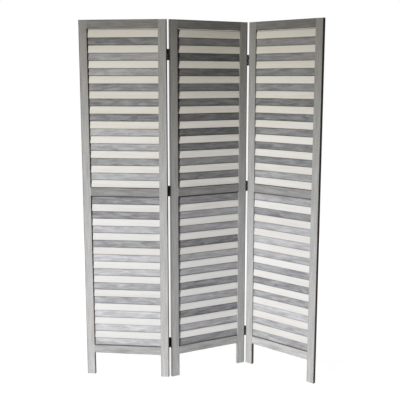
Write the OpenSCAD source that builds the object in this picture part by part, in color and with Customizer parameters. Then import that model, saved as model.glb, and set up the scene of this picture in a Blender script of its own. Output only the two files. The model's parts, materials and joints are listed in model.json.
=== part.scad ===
// Three-panel wooden folding screen with fixed louvre slats, white and grey by turns. The slat
// ends sit in slanting slots in the stiles, and the panels fold in a Z on steel butt hinges.
// Millimetres, +Z up. The front faces -Y and the legs stand on Z = 0.

/* [Panels] */
// Height of the screen from the floor to the top
screen_height = 1700; // [1400:10:2000]
// Width of one panel over both stiles
panel_width = 406; // [320:2:520]
// Thickness of the stiles and rails
frame_thickness = 15; // [14:0.5:24]
// Rounding of the long edges of stiles and rails
frame_ease = 0.8; // [0.3:0.1:2]
// Turn of the middle panel away from facing straight ahead, in degrees
middle_turn_angle = 26.5; // [-45:0.5:45]
// Fold between the left and middle panels, 0 when flat and 180 when shut
left_fold_angle = 33; // [0:0.5:180]
// Fold between the middle and right panels, 0 when flat and 180 when shut
right_fold_angle = 67.5; // [0:0.5:180]

/* [Frame members] */
// Width of a stile
stile_width = 40; // [34:1:60]
// Height of the top rail
top_rail_height = 40; // [28:1:70]
// Height of the middle rail
middle_rail_height = 40; // [28:1:70]
// Height of the bottom rail
bottom_rail_height = 40; // [28:1:70]
// Clear height of the legs below the bottom rail
leg_height = 110; // [60:1:200]
// Rise of the middle rail above the middle of the space between the other two rails
middle_rail_rise = 4; // [-100:1:100]

/* [Slats] */
// Slats in each of the two sections of a panel
slats_per_section = 21; // [19:2:23]
// Width of a slat across its face
slat_width = 38.5; // [34:0.5:44]
// Thickness of a slat
slat_thickness = 3.2; // [2.6:0.1:4]
// Lean of the slats, whose tops lie further back so that each one laps the next below it
slat_lean_angle = 8.6; // [7:0.1:10]
// Distance from the front of the frame back to the lower edges of the slats
slat_setback = 3.6; // [2:0.1:4.5]
// Rounding of the long edges of a slat
slat_ease = 0.8; // [0.3:0.1:1.2]
// Gap between the end slats of a section and the rails
slat_end_gap = 1; // [0.5:0.1:4]
// Depth of the slots in the stiles that hold the slat ends
slot_depth = 8; // [4:0.5:14]
// Clearance round a slat in its slot
slot_clearance = 0.2; // [0.1:0.05:0.4]

/* [Dowels] */
// Diameter of a rail dowel
dowel_diameter = 6; // [5:0.5:8]
// Length of a rail dowel
dowel_length = 30; // [20:1:40]
// Distance from the long edges of a rail to its dowels
dowel_edge_distance = 10; // [8:0.5:12]
// Bevel on the ends of a dowel
dowel_bevel = 0.8; // [0.3:0.1:1.5]
// Clearance round a glued dowel
dowel_clearance = 0.05; // [0.02:0.01:0.1]
// Free depth past each end of a dowel
dowel_end_room = 1; // [0.5:0.1:3]

/* [Hinges] */
// Height of a hinge
hinge_height = 50; // [40:1:80]
// Height of the middle of the bottom hinges
bottom_hinge_z = 171; // [130:1:300]
// Rise of the middle hinges above the middle of the middle rail
middle_hinge_rise = 7; // [-60:1:60]
// Distance from the top down to the middle of the left fold's top hinge
left_top_hinge_drop = 156; // [80:1:300]
// Distance from the top down to the middle of the right fold's top hinge
right_top_hinge_drop = 177; // [80:1:300]
// Outer diameter of the knuckles
knuckle_diameter = 5.2; // [4.8:0.1:7]
// Distance from the face of the frame out to the pin's axis
pin_offset = 3; // [2.8:0.1:5]
// Diameter of the hinge pin
pin_diameter = 2.6; // [2:0.1:3]
// Radial clearance of the pin in the knuckles
pin_clearance = 0.05; // [0.02:0.01:0.1]
// Thickness of a hinge leaf
leaf_thickness = 1.2; // [0.8:0.1:1.5]
// Distance from the pin's axis to the free edge of a leaf
leaf_reach = 15; // [12:0.5:17]
// Rounding of the free corners of a leaf
leaf_corner = 1.5; // [0.5:0.1:3]
// Knuckles on one hinge, an odd number
knuckles = 5; // [3:2:7]
// Gap between neighbouring knuckles, and round them in the other leaf's notches
knuckle_gap = 0.35; // [0.25:0.05:0.6]
// Diameter of the peened heads on a pin
pin_head_diameter = 4; // [3.4:0.1:4.8]
// Height of the peened heads on a pin
pin_head_height = 0.8; // [0.4:0.1:1.5]

/* [Screws] */
// Screws in one hinge leaf
screws_per_leaf = 2; // [2:1:3]
// Distance from the ends of a leaf to its end screws
screw_end_distance = 10; // [7:0.5:14]
// Diameter of a screw's shank
screw_diameter = 2.4; // [2:0.1:3]
// Length of a screw with its head
screw_length = 14; // [10:0.5:18]
// Diameter of a screw's head
screw_head_diameter = 4.6; // [4.2:0.1:5.2]
// Clearance round a screw's head, and round its shank in the leaf and the stile
screw_clearance = 0.08; // [0.04:0.01:0.15]
// Diameter of a screw's tip
screw_tip_diameter = 0.4; // [0.2:0.1:1]
// Width of the arms of the cross recess
recess_width = 0.7; // [0.5:0.05:0.9]
// Depth of the cross recess
recess_depth = 0.7; // [0.4:0.05:0.9]

/* [Hidden] */
$fn = 48;
CUT = 1;
LEFT = 0;
MIDDLE = 1;
RIGHT = 2;
BOTTOM = 0;
HALFWAY = 1;
TOP = 2;

FRAME_GREY = "#a3a29d";
SLAT_WHITE = "#e8e5dc";
SLAT_GREY = "#8f9296";
BEECH = "#d8b98c";
HINGE_BLACK = "#1d1c1b";
SCREW_BRONZE = "#5c4a38";

// Each rail and each section of slats is a pair: the height of its foot and its own height.
opening_width = panel_width - 2 * stile_width;
bottom_rail_span = [leg_height, bottom_rail_height];
bottom_rail_top = leg_height + bottom_rail_height;
top_rail_foot = screen_height - top_rail_height;
middle_rail_middle = (bottom_rail_top + top_rail_foot) / 2 + middle_rail_rise;
middle_rail_foot = middle_rail_middle - middle_rail_height / 2;
middle_rail_top = middle_rail_middle + middle_rail_height / 2;
middle_rail_span = [middle_rail_foot, middle_rail_height];
top_rail_span = [top_rail_foot, top_rail_height];
rail_spans = [bottom_rail_span, middle_rail_span, top_rail_span];
lower_section = [bottom_rail_top, middle_rail_foot - bottom_rail_top];
upper_section = [middle_rail_top, top_rail_foot - middle_rail_top];

slat_rise = slat_width * cos(slat_lean_angle) + slat_thickness * sin(slat_lean_angle);
slat_length = opening_width + 2 * (slot_depth - slot_clearance);
function slat_pitch(section) =
    (section[1] - 2 * slat_end_gap - slat_rise) / (slats_per_section - 1);
function slat_z(section, i) = section[0] + slat_end_gap + i * slat_pitch(section);

knuckle_radius = knuckle_diameter / 2;
left_pin_y = frame_thickness + pin_offset;
right_pin_y = -pin_offset;
knuckle_pitch = (hinge_height + knuckle_gap) / knuckles;
knuckle_height = knuckle_pitch - knuckle_gap;
notch_depth = knuckle_radius + knuckle_gap;
middle_hinge_z = middle_rail_middle + middle_hinge_rise;
left_hinge_z = [bottom_hinge_z, middle_hinge_z, screen_height - left_top_hinge_drop];
right_hinge_z = [bottom_hinge_z, middle_hinge_z, screen_height - right_top_hinge_drop];

// The screws of a leaf stand on one line, at these heights from the middle of the hinge.
screw_line = (notch_depth + leaf_reach) / 2;
screw_span = hinge_height - 2 * screw_end_distance;
screw_heights = [for (i = [0:screws_per_leaf - 1])
    -screw_span / 2 + i * screw_span / (screws_per_leaf - 1)];
screw_head_height = (screw_head_diameter - screw_diameter) / 2;
screw_tip_height = screw_diameter;
recess_length = screw_head_diameter / 2;

// Plan position of the panels. Each panel's own frame has X along its front from its left edge,
// Y into its thickness and Z up. The pins lie on the back of the left fold and the front of the
// right fold, half a knuckle outside the stiles.
function turned(p, a) = [p[0] * cos(a) - p[1] * sin(a), p[0] * sin(a) + p[1] * cos(a)];
left_turn = middle_turn_angle - left_fold_angle;
right_turn = middle_turn_angle - right_fold_angle;
left_pin_on_middle = [-knuckle_radius, left_pin_y];
left_pin_on_left = [panel_width + knuckle_radius, left_pin_y];
right_pin_on_middle = [panel_width + knuckle_radius, right_pin_y];
right_pin_on_right = [-knuckle_radius, right_pin_y];
left_pin = turned(left_pin_on_middle, middle_turn_angle);
right_pin = turned(right_pin_on_middle, middle_turn_angle);
left_start = left_pin - turned(left_pin_on_left, left_turn);
right_start = right_pin - turned(right_pin_on_right, right_turn);
panel_starts = [left_start, [0, 0], right_start];
panel_turns = [left_turn, middle_turn_angle, right_turn];

// The origin is under the middle of the box round the six stiles.
corners = [for (i = [0:2]) for (x = [0, panel_width]) for (y = [0, frame_thickness])
    panel_starts[i] + turned([x, y], panel_turns[i])];
corner_xs = [for (c = corners) c[0]];
corner_ys = [for (c = corners) c[1]];
middle_of_box = [min(corner_xs) + max(corner_xs), min(corner_ys) + max(corner_ys)] / 2;

echo(left_pin = left_pin - middle_of_box);
echo(right_pin = right_pin - middle_of_box);
echo(turns = panel_turns, starts = [for (s = panel_starts) s - middle_of_box]);
echo(lower_section = lower_section, lower_slat_pitch = slat_pitch(lower_section));
echo(upper_section = upper_section, upper_slat_pitch = slat_pitch(upper_section));

// A rectangle of width by depth with its corner at the origin and rounded corners.
module eased_rectangle(width, depth, radius) {
    translate([radius, 0]) square([width - 2 * radius, depth]);
    translate([0, radius]) square([width, depth - 2 * radius]);
    for (x = [radius, width - radius])
        for (y = [radius, depth - radius])
            translate([x, y]) circle(radius);
}

// Puts what is drawn in a panel's own frame where that panel stands.
module on_panel(panel) {
    start = panel_starts[panel] - middle_of_box;
    translate([start[0], start[1], 0])
        rotate([0, 0, panel_turns[panel]])
            children();
}

// Outline of one slat seen from its end, standing on its lower front edge, grown all round.
module slat_outline(grow) {
    translate([slat_thickness * cos(slat_lean_angle), 0])
        rotate(90 - slat_lean_angle)
            translate([-grow, -grow])
                eased_rectangle(slat_width + 2 * grow, slat_thickness + 2 * grow,
                    slat_ease + grow);
}

// One slat or slot, lying along X from start for the given length.
module slat_bar(start, length, z, grow) {
    translate([start, slat_setback, z])
        rotate([90, 0, 90])
            linear_extrude(length)
                slat_outline(grow);
}

// The slats of one colour in one section: every other one, counted up from its foot.
module slats(section, first, tint) {
    color(tint)
        for (i = [first:2:slats_per_section - 1])
            slat_bar(stile_width - slot_depth + slot_clearance, slat_length,
                slat_z(section, i), 0);
}

// Slots for the slat ends, cut from the inner face of a stile at inner_x.
module slots(inner_x, side) {
    start = side > 0 ? inner_x - slot_depth : inner_x - CUT;
    for (section = [lower_section, upper_section])
        for (i = [0:slats_per_section - 1])
            slat_bar(start, slot_depth + CUT, slat_z(section, i), slot_clearance);
}

function dowel_heights(span) =
    [span[0] + dowel_edge_distance, span[0] + span[1] - dowel_edge_distance];

// A round bar along X with its middle at x, at every dowel's height on the given rails.
module dowel_bars(x, spans, diameter, length, bevel) {
    for (span = spans)
        for (z = dowel_heights(span))
            translate([x - length / 2, frame_thickness / 2, z])
                rotate([0, 90, 0]) {
                    translate([0, 0, bevel]) cylinder(d = diameter, h = length - 2 * bevel);
                    if (bevel > 0) {
                        cylinder(d1 = diameter - 2 * bevel, d2 = diameter, h = bevel);
                        translate([0, 0, length - bevel])
                            cylinder(d1 = diameter, d2 = diameter - 2 * bevel, h = bevel);
                    }
                }
}

module dowel_holes(x, spans) {
    dowel_bars(x, spans, dowel_diameter + 2 * dowel_clearance,
        dowel_length + 2 * dowel_end_room, 0);
}

module dowels() {
    color(BEECH)
        for (x = [stile_width, panel_width - stile_width])
            dowel_bars(x, rail_spans, dowel_diameter, dowel_length, dowel_bevel);
}

// Puts what is drawn in a hinge's own frame on a panel's edge: the pin's axis is Z, X runs from
// the pin towards the stile's edge and Y runs from the pin over that edge.
module at_hinges(edge, pin_y, heights) {
    edge_x = edge > 0 ? panel_width + knuckle_radius : -knuckle_radius;
    for (z = heights)
        translate([edge_x, pin_y, z])
            mirror([edge > 0 ? 1 : 0, 0, 0])
                mirror([0, pin_y > 0 ? 1 : 0, 0])
                    children();
}

// Pilot holes for the hinge screws in the edge of a stile.
module pilot_holes() {
    for (z = screw_heights)
        translate([knuckle_radius - CUT, screw_line, z])
            rotate([0, 90, 0])
                cylinder(d = screw_diameter + 2 * screw_clearance,
                    h = screw_length - leaf_thickness + 2 * CUT);
}

// One stile, with its slots, its dowel holes and the pilot holes of its hinges. The side is 1
// for the left stile of a panel and -1 for the right one.
module stile(side) {
    outer_x = side > 0 ? 0 : panel_width - stile_width;
    inner_x = side > 0 ? stile_width : panel_width - stile_width;
    color(FRAME_GREY)
        difference() {
            translate([outer_x, 0, 0])
                linear_extrude(screen_height)
                    eased_rectangle(stile_width, frame_thickness, frame_ease);
            slots(inner_x, side);
            dowel_holes(inner_x, rail_spans);
            children();
        }
}

// One rail between the stiles, with its dowel holes.
module rail(span) {
    color(FRAME_GREY)
        difference() {
            translate([stile_width, 0, span[0]])
                rotate([90, 0, 90])
                    linear_extrude(opening_width)
                        eased_rectangle(frame_thickness, span[1], frame_ease);
            for (x = [stile_width, panel_width - stile_width])
                dowel_holes(x, [span]);
        }
}

module bottom_rail() { rail(bottom_rail_span); }
module middle_rail() { rail(middle_rail_span); }
module top_rail() { rail(top_rail_span); }

// White slats come first and last in the upper section, grey ones in the lower section.
module upper_white_slats() { slats(upper_section, 0, SLAT_WHITE); }
module upper_grey_slats() { slats(upper_section, 1, SLAT_GREY); }
module lower_white_slats() { slats(lower_section, 1, SLAT_WHITE); }
module lower_grey_slats() { slats(lower_section, 0, SLAT_GREY); }

// One hinge leaf in the hinge's own frame. It carries every other knuckle, from the first or
// the second one up, and is notched round those of the other leaf.
module leaf(first_knuckle) {
    own = [for (i = [first_knuckle:2:knuckles - 1]) i * knuckle_pitch - hinge_height / 2];
    color(HINGE_BLACK)
        difference() {
            union() {
                translate([knuckle_radius, 0, -hinge_height / 2])
                    rotate([0, -90, 0])
                        linear_extrude(leaf_thickness) {
                            translate([0, notch_depth])
                                square([hinge_height, leaf_reach - notch_depth - leaf_corner]);
                            translate([0, leaf_reach - 2 * leaf_corner - CUT])
                                eased_rectangle(hinge_height, 2 * leaf_corner + CUT, leaf_corner);
                        }
                for (z = own) {
                    translate([knuckle_radius - leaf_thickness, 0, z])
                        cube([leaf_thickness, notch_depth, knuckle_height]);
                    translate([0, 0, z]) cylinder(r = knuckle_radius, h = knuckle_height);
                }
            }
            translate([0, 0, -hinge_height / 2 - CUT])
                cylinder(d = pin_diameter + 2 * pin_clearance, h = hinge_height + 2 * CUT);
            for (z = screw_heights)
                translate([knuckle_radius, screw_line, z])
                    rotate([0, -90, 0])
                        countersink();
        }
}

// Cut for a countersunk screw: its mouth lies on the inner face of the leaf.
module countersink() {
    translate([0, 0, leaf_thickness - screw_head_height])
        cylinder(d1 = screw_diameter + 2 * screw_clearance,
            d2 = screw_head_diameter + 2 * screw_clearance, h = screw_head_height);
    translate([0, 0, -CUT])
        cylinder(d = screw_diameter + 2 * screw_clearance, h = leaf_thickness + 2 * CUT);
    translate([0, 0, leaf_thickness])
        cylinder(d = screw_head_diameter + 2 * screw_clearance, h = CUT);
}

// Hinge pin with a peened head at each end.
module pin() {
    color(HINGE_BLACK) {
        translate([0, 0, -hinge_height / 2 - pin_head_height / 2])
            cylinder(d = pin_diameter, h = hinge_height + pin_head_height);
        for (end = [0, 1])
            mirror([0, 0, end])
                translate([0, 0, hinge_height / 2]) {
                    cylinder(d = pin_head_diameter, h = pin_head_height / 2);
                    translate([0, 0, pin_head_height / 2])
                        cylinder(d1 = pin_head_diameter, d2 = pin_head_diameter / 2,
                            h = pin_head_height / 2);
                }
    }
}

// The countersunk screws of one leaf, in the hinge's own frame.
module leaf_screws() {
    shank_length = screw_length - screw_head_height - screw_tip_height;
    for (z = screw_heights)
        translate([knuckle_radius - leaf_thickness, screw_line, z])
            rotate([0, 90, 0])
                difference() {
                    union() {
                        cylinder(d1 = screw_head_diameter, d2 = screw_diameter,
                            h = screw_head_height);
                        translate([0, 0, screw_head_height])
                            cylinder(d = screw_diameter, h = shank_length);
                        translate([0, 0, screw_head_height + shank_length])
                            cylinder(d1 = screw_diameter, d2 = screw_tip_diameter,
                                h = screw_tip_height);
                    }
                    for (turn = [0, 90])
                        rotate(turn)
                            translate([-recess_length / 2, -recess_width / 2, -CUT])
                                cube([recess_length, recess_width, recess_depth + CUT]);
                }
}

// The left fold's pins stand behind the frame, the right fold's pins in front of it.
module left_fold_on_left(heights) { at_hinges(1, left_pin_y, heights) children(); }
module left_fold_on_middle(heights) { at_hinges(-1, left_pin_y, heights) children(); }
module right_fold_on_middle(heights) { at_hinges(1, right_pin_y, heights) children(); }
module right_fold_on_right(heights) { at_hinges(-1, right_pin_y, heights) children(); }

module left_leaf() { leaf(0); }
module right_leaf() { leaf(1); }
module screws() { color(SCREW_BRONZE) leaf_screws(); }

module left_panel_left_stile() { on_panel(LEFT) stile(1); }
module left_panel_right_stile() {
    on_panel(LEFT) stile(-1) left_fold_on_left(left_hinge_z) pilot_holes();
}
module left_panel_top_rail() { on_panel(LEFT) top_rail(); }
module left_panel_middle_rail() { on_panel(LEFT) middle_rail(); }
module left_panel_bottom_rail() { on_panel(LEFT) bottom_rail(); }
module left_panel_upper_white_slats() { on_panel(LEFT) upper_white_slats(); }
module left_panel_upper_grey_slats() { on_panel(LEFT) upper_grey_slats(); }
module left_panel_lower_white_slats() { on_panel(LEFT) lower_white_slats(); }
module left_panel_lower_grey_slats() { on_panel(LEFT) lower_grey_slats(); }
module left_panel_dowels() { on_panel(LEFT) dowels(); }

module middle_panel_left_stile() {
    on_panel(MIDDLE) stile(1) left_fold_on_middle(left_hinge_z) pilot_holes();
}
module middle_panel_right_stile() {
    on_panel(MIDDLE) stile(-1) right_fold_on_middle(right_hinge_z) pilot_holes();
}
module middle_panel_top_rail() { on_panel(MIDDLE) top_rail(); }
module middle_panel_middle_rail() { on_panel(MIDDLE) middle_rail(); }
module middle_panel_bottom_rail() { on_panel(MIDDLE) bottom_rail(); }
module middle_panel_upper_white_slats() { on_panel(MIDDLE) upper_white_slats(); }
module middle_panel_upper_grey_slats() { on_panel(MIDDLE) upper_grey_slats(); }
module middle_panel_lower_white_slats() { on_panel(MIDDLE) lower_white_slats(); }
module middle_panel_lower_grey_slats() { on_panel(MIDDLE) lower_grey_slats(); }
module middle_panel_dowels() { on_panel(MIDDLE) dowels(); }

module right_panel_left_stile() {
    on_panel(RIGHT) stile(1) right_fold_on_right(right_hinge_z) pilot_holes();
}
module right_panel_right_stile() { on_panel(RIGHT) stile(-1); }
module right_panel_top_rail() { on_panel(RIGHT) top_rail(); }
module right_panel_middle_rail() { on_panel(RIGHT) middle_rail(); }
module right_panel_bottom_rail() { on_panel(RIGHT) bottom_rail(); }
module right_panel_upper_white_slats() { on_panel(RIGHT) upper_white_slats(); }
module right_panel_upper_grey_slats() { on_panel(RIGHT) upper_grey_slats(); }
module right_panel_lower_white_slats() { on_panel(RIGHT) lower_white_slats(); }
module right_panel_lower_grey_slats() { on_panel(RIGHT) lower_grey_slats(); }
module right_panel_dowels() { on_panel(RIGHT) dowels(); }

module left_fold_left_screws() { on_panel(LEFT) left_fold_on_left(left_hinge_z) screws(); }
module left_fold_right_screws() { on_panel(MIDDLE) left_fold_on_middle(left_hinge_z) screws(); }
module right_fold_left_screws() { on_panel(MIDDLE) right_fold_on_middle(right_hinge_z) screws(); }
module right_fold_right_screws() { on_panel(RIGHT) right_fold_on_right(right_hinge_z) screws(); }

module left_fold_bottom_hinge_left_leaf() {
    on_panel(LEFT) left_fold_on_left([left_hinge_z[BOTTOM]]) left_leaf();
}
module left_fold_bottom_hinge_right_leaf() {
    on_panel(MIDDLE) left_fold_on_middle([left_hinge_z[BOTTOM]]) right_leaf();
}
module left_fold_bottom_hinge_pin() {
    on_panel(LEFT) left_fold_on_left([left_hinge_z[BOTTOM]]) pin();
}
module left_fold_middle_hinge_left_leaf() {
    on_panel(LEFT) left_fold_on_left([left_hinge_z[HALFWAY]]) left_leaf();
}
module left_fold_middle_hinge_right_leaf() {
    on_panel(MIDDLE) left_fold_on_middle([left_hinge_z[HALFWAY]]) right_leaf();
}
module left_fold_middle_hinge_pin() {
    on_panel(LEFT) left_fold_on_left([left_hinge_z[HALFWAY]]) pin();
}
module left_fold_top_hinge_left_leaf() {
    on_panel(LEFT) left_fold_on_left([left_hinge_z[TOP]]) left_leaf();
}
module left_fold_top_hinge_right_leaf() {
    on_panel(MIDDLE) left_fold_on_middle([left_hinge_z[TOP]]) right_leaf();
}
module left_fold_top_hinge_pin() {
    on_panel(LEFT) left_fold_on_left([left_hinge_z[TOP]]) pin();
}
module right_fold_bottom_hinge_left_leaf() {
    on_panel(MIDDLE) right_fold_on_middle([right_hinge_z[BOTTOM]]) left_leaf();
}
module right_fold_bottom_hinge_right_leaf() {
    on_panel(RIGHT) right_fold_on_right([right_hinge_z[BOTTOM]]) right_leaf();
}
module right_fold_bottom_hinge_pin() {
    on_panel(MIDDLE) right_fold_on_middle([right_hinge_z[BOTTOM]]) pin();
}
module right_fold_middle_hinge_left_leaf() {
    on_panel(MIDDLE) right_fold_on_middle([right_hinge_z[HALFWAY]]) left_leaf();
}
module right_fold_middle_hinge_right_leaf() {
    on_panel(RIGHT) right_fold_on_right([right_hinge_z[HALFWAY]]) right_leaf();
}
module right_fold_middle_hinge_pin() {
    on_panel(MIDDLE) right_fold_on_middle([right_hinge_z[HALFWAY]]) pin();
}
module right_fold_top_hinge_left_leaf() {
    on_panel(MIDDLE) right_fold_on_middle([right_hinge_z[TOP]]) left_leaf();
}
module right_fold_top_hinge_right_leaf() {
    on_panel(RIGHT) right_fold_on_right([right_hinge_z[TOP]]) right_leaf();
}
module right_fold_top_hinge_pin() {
    on_panel(MIDDLE) right_fold_on_middle([right_hinge_z[TOP]]) pin();
}

left_panel_left_stile();
left_panel_right_stile();
left_panel_top_rail();
left_panel_middle_rail();
left_panel_bottom_rail();
left_panel_upper_white_slats();
left_panel_upper_grey_slats();
left_panel_lower_white_slats();
left_panel_lower_grey_slats();
left_panel_dowels();
middle_panel_left_stile();
middle_panel_right_stile();
middle_panel_top_rail();
middle_panel_middle_rail();
middle_panel_bottom_rail();
middle_panel_upper_white_slats();
middle_panel_upper_grey_slats();
middle_panel_lower_white_slats();
middle_panel_lower_grey_slats();
middle_panel_dowels();
right_panel_left_stile();
right_panel_right_stile();
right_panel_top_rail();
right_panel_middle_rail();
right_panel_bottom_rail();
right_panel_upper_white_slats();
right_panel_upper_grey_slats();
right_panel_lower_white_slats();
right_panel_lower_grey_slats();
right_panel_dowels();
left_fold_bottom_hinge_left_leaf();
left_fold_bottom_hinge_right_leaf();
left_fold_bottom_hinge_pin();
left_fold_middle_hinge_left_leaf();
left_fold_middle_hinge_right_leaf();
left_fold_middle_hinge_pin();
left_fold_top_hinge_left_leaf();
left_fold_top_hinge_right_leaf();
left_fold_top_hinge_pin();
right_fold_bottom_hinge_left_leaf();
right_fold_bottom_hinge_right_leaf();
right_fold_bottom_hinge_pin();
right_fold_middle_hinge_left_leaf();
right_fold_middle_hinge_right_leaf();
right_fold_middle_hinge_pin();
right_fold_top_hinge_left_leaf();
right_fold_top_hinge_right_leaf();
right_fold_top_hinge_pin();
left_fold_left_screws();
left_fold_right_screws();
right_fold_left_screws();
right_fold_right_screws();
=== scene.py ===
"""Looks of a louvred folding screen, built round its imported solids.

Three panels of weathered grey fir stand in a Z. Each holds two sections of thin slats,
whitewashed and grey-washed by turns, and black steel butt hinges join the panels. The solids of
the frames, hinges and dowels stay as they are and are given their finishes. The slats and the
hinge screws are made again here, each with its own tone, grain and turn.
"""
import json
import logging
import math
from dataclasses import dataclass, field, replace
from enum import Enum
from functools import cache
from typing import ClassVar

import bmesh
import bpy
from mathutils import Matrix, Vector


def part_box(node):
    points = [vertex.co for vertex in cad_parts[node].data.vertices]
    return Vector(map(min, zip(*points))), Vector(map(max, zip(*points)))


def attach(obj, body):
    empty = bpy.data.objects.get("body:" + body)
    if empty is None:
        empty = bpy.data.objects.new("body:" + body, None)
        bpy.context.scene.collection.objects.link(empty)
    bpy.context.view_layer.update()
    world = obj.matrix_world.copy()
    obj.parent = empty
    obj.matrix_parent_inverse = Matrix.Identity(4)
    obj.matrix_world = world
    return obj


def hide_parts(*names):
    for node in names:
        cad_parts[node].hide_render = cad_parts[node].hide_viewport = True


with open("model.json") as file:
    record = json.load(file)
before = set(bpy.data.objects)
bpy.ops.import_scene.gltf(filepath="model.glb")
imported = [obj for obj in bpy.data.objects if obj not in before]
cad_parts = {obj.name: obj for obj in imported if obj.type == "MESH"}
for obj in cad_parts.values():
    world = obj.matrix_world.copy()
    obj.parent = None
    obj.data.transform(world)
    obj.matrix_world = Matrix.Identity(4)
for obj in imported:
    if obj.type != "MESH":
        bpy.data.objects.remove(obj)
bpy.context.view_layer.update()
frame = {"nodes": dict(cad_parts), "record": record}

LOG = logging.getLogger("folding_screen")
MM = 0.001
METRE = 1000.0
FRAME_PIXELS = 400
SENSOR_MM = 36.0

# Noise swings about this value, and so do the tones that are made of it.
MIDDLE = 0.5
NOISE_ROUGHNESS = 0.55

# The deep and the pale tone lie this far up the range of a wash's tones.
DEEP_STOP, PALE_STOP = 0.15, 0.85
WOOD_IOR, WOOD_GLOSS = 1.45, 0.2
WOOD_RELIEF, HARD_RELIEF = 0.6, 0.5
ROUGHNESS_PLAY = 0.08

# Heights in metres between which the wash darkens with painted shade for the light that falls
# off upwards, and between which it yellows.
SHADING_HEIGHTS = (0.4, 1.4)
YELLOWING = (0.8, 1.7)

# A stile's narrow faces are brown for this many millimetres past the edge, a rail's less far.
# The brown is partly painted shade, on the faces turned from the key and on the outer left face
# in the fold, which takes a share of it.
STILE_RIM_MM, RAIL_RIM_MM = 2.0, 0.8
LEFT_FACE_SHADE = 0.5

# A face whose normal is nearer upright than this is a sawn end.
END_FACING = 0.9
RINGS = {"Scale": 110.0, "Distortion": 3.0, "Detail": 2.0}
RING_SHADES = (0.62, 0.82)

# Between these two tones of the fibres the edge band, rubbed and partly painted shade, goes
# from the weaker to the full share.
FIBRE_TONES, FIBRE_BAND_SHARES = (0.3, 0.6), (0.4, 1.0)

# How far the marks of one slat are moved, times its own random numbers.
SLAT_STRIDES_MM = (4000.0, 900.0, 700.0)

Object = bpy.types.Object
Material = bpy.types.Material
Socket = bpy.types.NodeSocket
Tree = bpy.types.NodeTree
Pair = tuple[float, float]
Colour = tuple[float, float, float, float]


class Wash(Enum):
    """The two washes that the slats take by turns."""

    WHITE = "white"
    GREY = "grey"


class Section(Enum):
    """The two sections of slats in a panel."""

    LOWER = "lower"
    UPPER = "upper"


class Fold(Enum):
    """The two folds between the panels."""

    LEFT = "left"
    RIGHT = "right"


# The rails below and above each section, the wash of its lowest slat, and the panels on the
# left and right of each fold.
SECTION_RAILS = {Section.LOWER: ("bottom", "middle"), Section.UPPER: ("middle", "top")}
LOWEST_WASH = {Section.LOWER: Wash.GREY, Section.UPPER: Wash.WHITE}
FOLD_PANELS = {Fold.LEFT: ("left_panel", "middle_panel"),
               Fold.RIGHT: ("middle_panel", "right_panel")}


def linear(code: str) -> Colour:
    """An sRGB colour, given as a hex value such as "#a3a29d", in linear light."""
    channels = [int(code[i:i + 2], 16) / 255 for i in (1, 3, 5)]
    return (*(c / 12.92 if c <= 0.04045 else ((c + 0.055) / 1.055) ** 2.4
              for c in channels), 1.0)


def add_node(tree: Tree, kind: str, inputs: dict | None = None, **settings) -> bpy.types.Node:
    """Adds a node, gives it its settings, and fills or links its inputs.

    Args:
        tree: the tree that the node goes into.
        kind: the node's type name.
        inputs: for each input, by name or number, a value or the socket that feeds it.
        **settings: properties of the node, set before its inputs.

    Returns:
        The new node.
    """
    node = tree.nodes.new(kind)
    for name, value in settings.items():
        setattr(node, name, value)
    for key, value in (inputs or {}).items():
        if isinstance(value, Socket):
            tree.links.new(value, node.inputs[key])
        else:
            node.inputs[key].default_value = value
    return node


def shape(tree: Tree, kind: str, inputs: dict, **settings) -> Socket:
    """The geometry that comes out of a Geometry node."""
    return add_node(tree, "GeometryNode" + kind, inputs, **settings).outputs[0]


def paint(tree: Tree, kind: str, inputs: dict, **settings) -> Socket:
    """The first output of a Shader node."""
    return add_node(tree, "ShaderNode" + kind, inputs, **settings).outputs[0]


def calc(tree: Tree, operation: str, *values: float | Socket) -> Socket:
    """The result of a Math node on numbers or sockets."""
    return paint(tree, "Math", dict(enumerate(values)), operation=operation)


def vector_calc(tree: Tree, operation: str, first: Socket, second: Socket | tuple) -> Socket:
    """The result of a Vector Math node on two vectors."""
    return paint(tree, "VectorMath", {0: first, 1: second}, operation=operation)


def in_mm(tree: Tree, place: Socket) -> Socket:
    """A place in metres turned into millimetres."""
    return vector_calc(tree, "MULTIPLY", place, (METRE, METRE, METRE))


def distance(tree: Tree, value: Socket, other: float) -> Socket:
    """How far a number is from another one."""
    return calc(tree, "ABSOLUTE", calc(tree, "SUBTRACT", value, other))


def ramp(tree: Tree, value: Socket, low: float, high: float, start: float = 0.0,
         end: float = 1.0) -> Socket:
    """Goes evenly from start, where the value is low, to end, where it is high."""
    return paint(tree, "MapRange", {
        "Value": value, "From Min": low, "From Max": high, "To Min": start, "To Max": end})


def mix(tree: Tree, share: float | Socket, first: Socket | Colour, second: Socket | Colour,
        blend: str = "MIX") -> Socket:
    """Blends a share of the second colour into the first."""
    return add_node(tree, "ShaderNodeMix", {0: share, 6: first, 7: second},
                    data_type="RGBA", blend_type=blend).outputs[2]


def parts(tree: Tree, whole: Socket) -> dict[str, Socket]:
    """The X, Y and Z of a vector."""
    return add_node(tree, "ShaderNodeSeparateXYZ", {0: whole}).outputs


def vector(tree: Tree, *values: float | Socket) -> Socket:
    """A vector of three numbers or sockets."""
    return paint(tree, "CombineXYZ", dict(enumerate(values)))


def place_on(tree: Tree) -> Socket:
    """The point in metres, in coordinates that ride with the piece."""
    return add_node(tree, "ShaderNodeTexCoord").outputs["Object"]


def empty_tree(owner: Material | bpy.types.World) -> Tree:
    """Turns nodes on for a material or a world.

    Args:
        owner: what the tree belongs to.

    Returns:
        Its tree, without any node.
    """
    owner.use_nodes = True
    owner.node_tree.nodes.clear()
    return owner.node_tree


def new_object(name: str, data: bpy.types.ID) -> Object:
    """Puts data into the scene.

    Args:
        name: the object's name.
        data: its mesh, light or camera.

    Returns:
        The object that holds it.
    """
    made = bpy.data.objects.new(name, data)
    bpy.context.scene.collection.objects.link(made)
    return made


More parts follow.
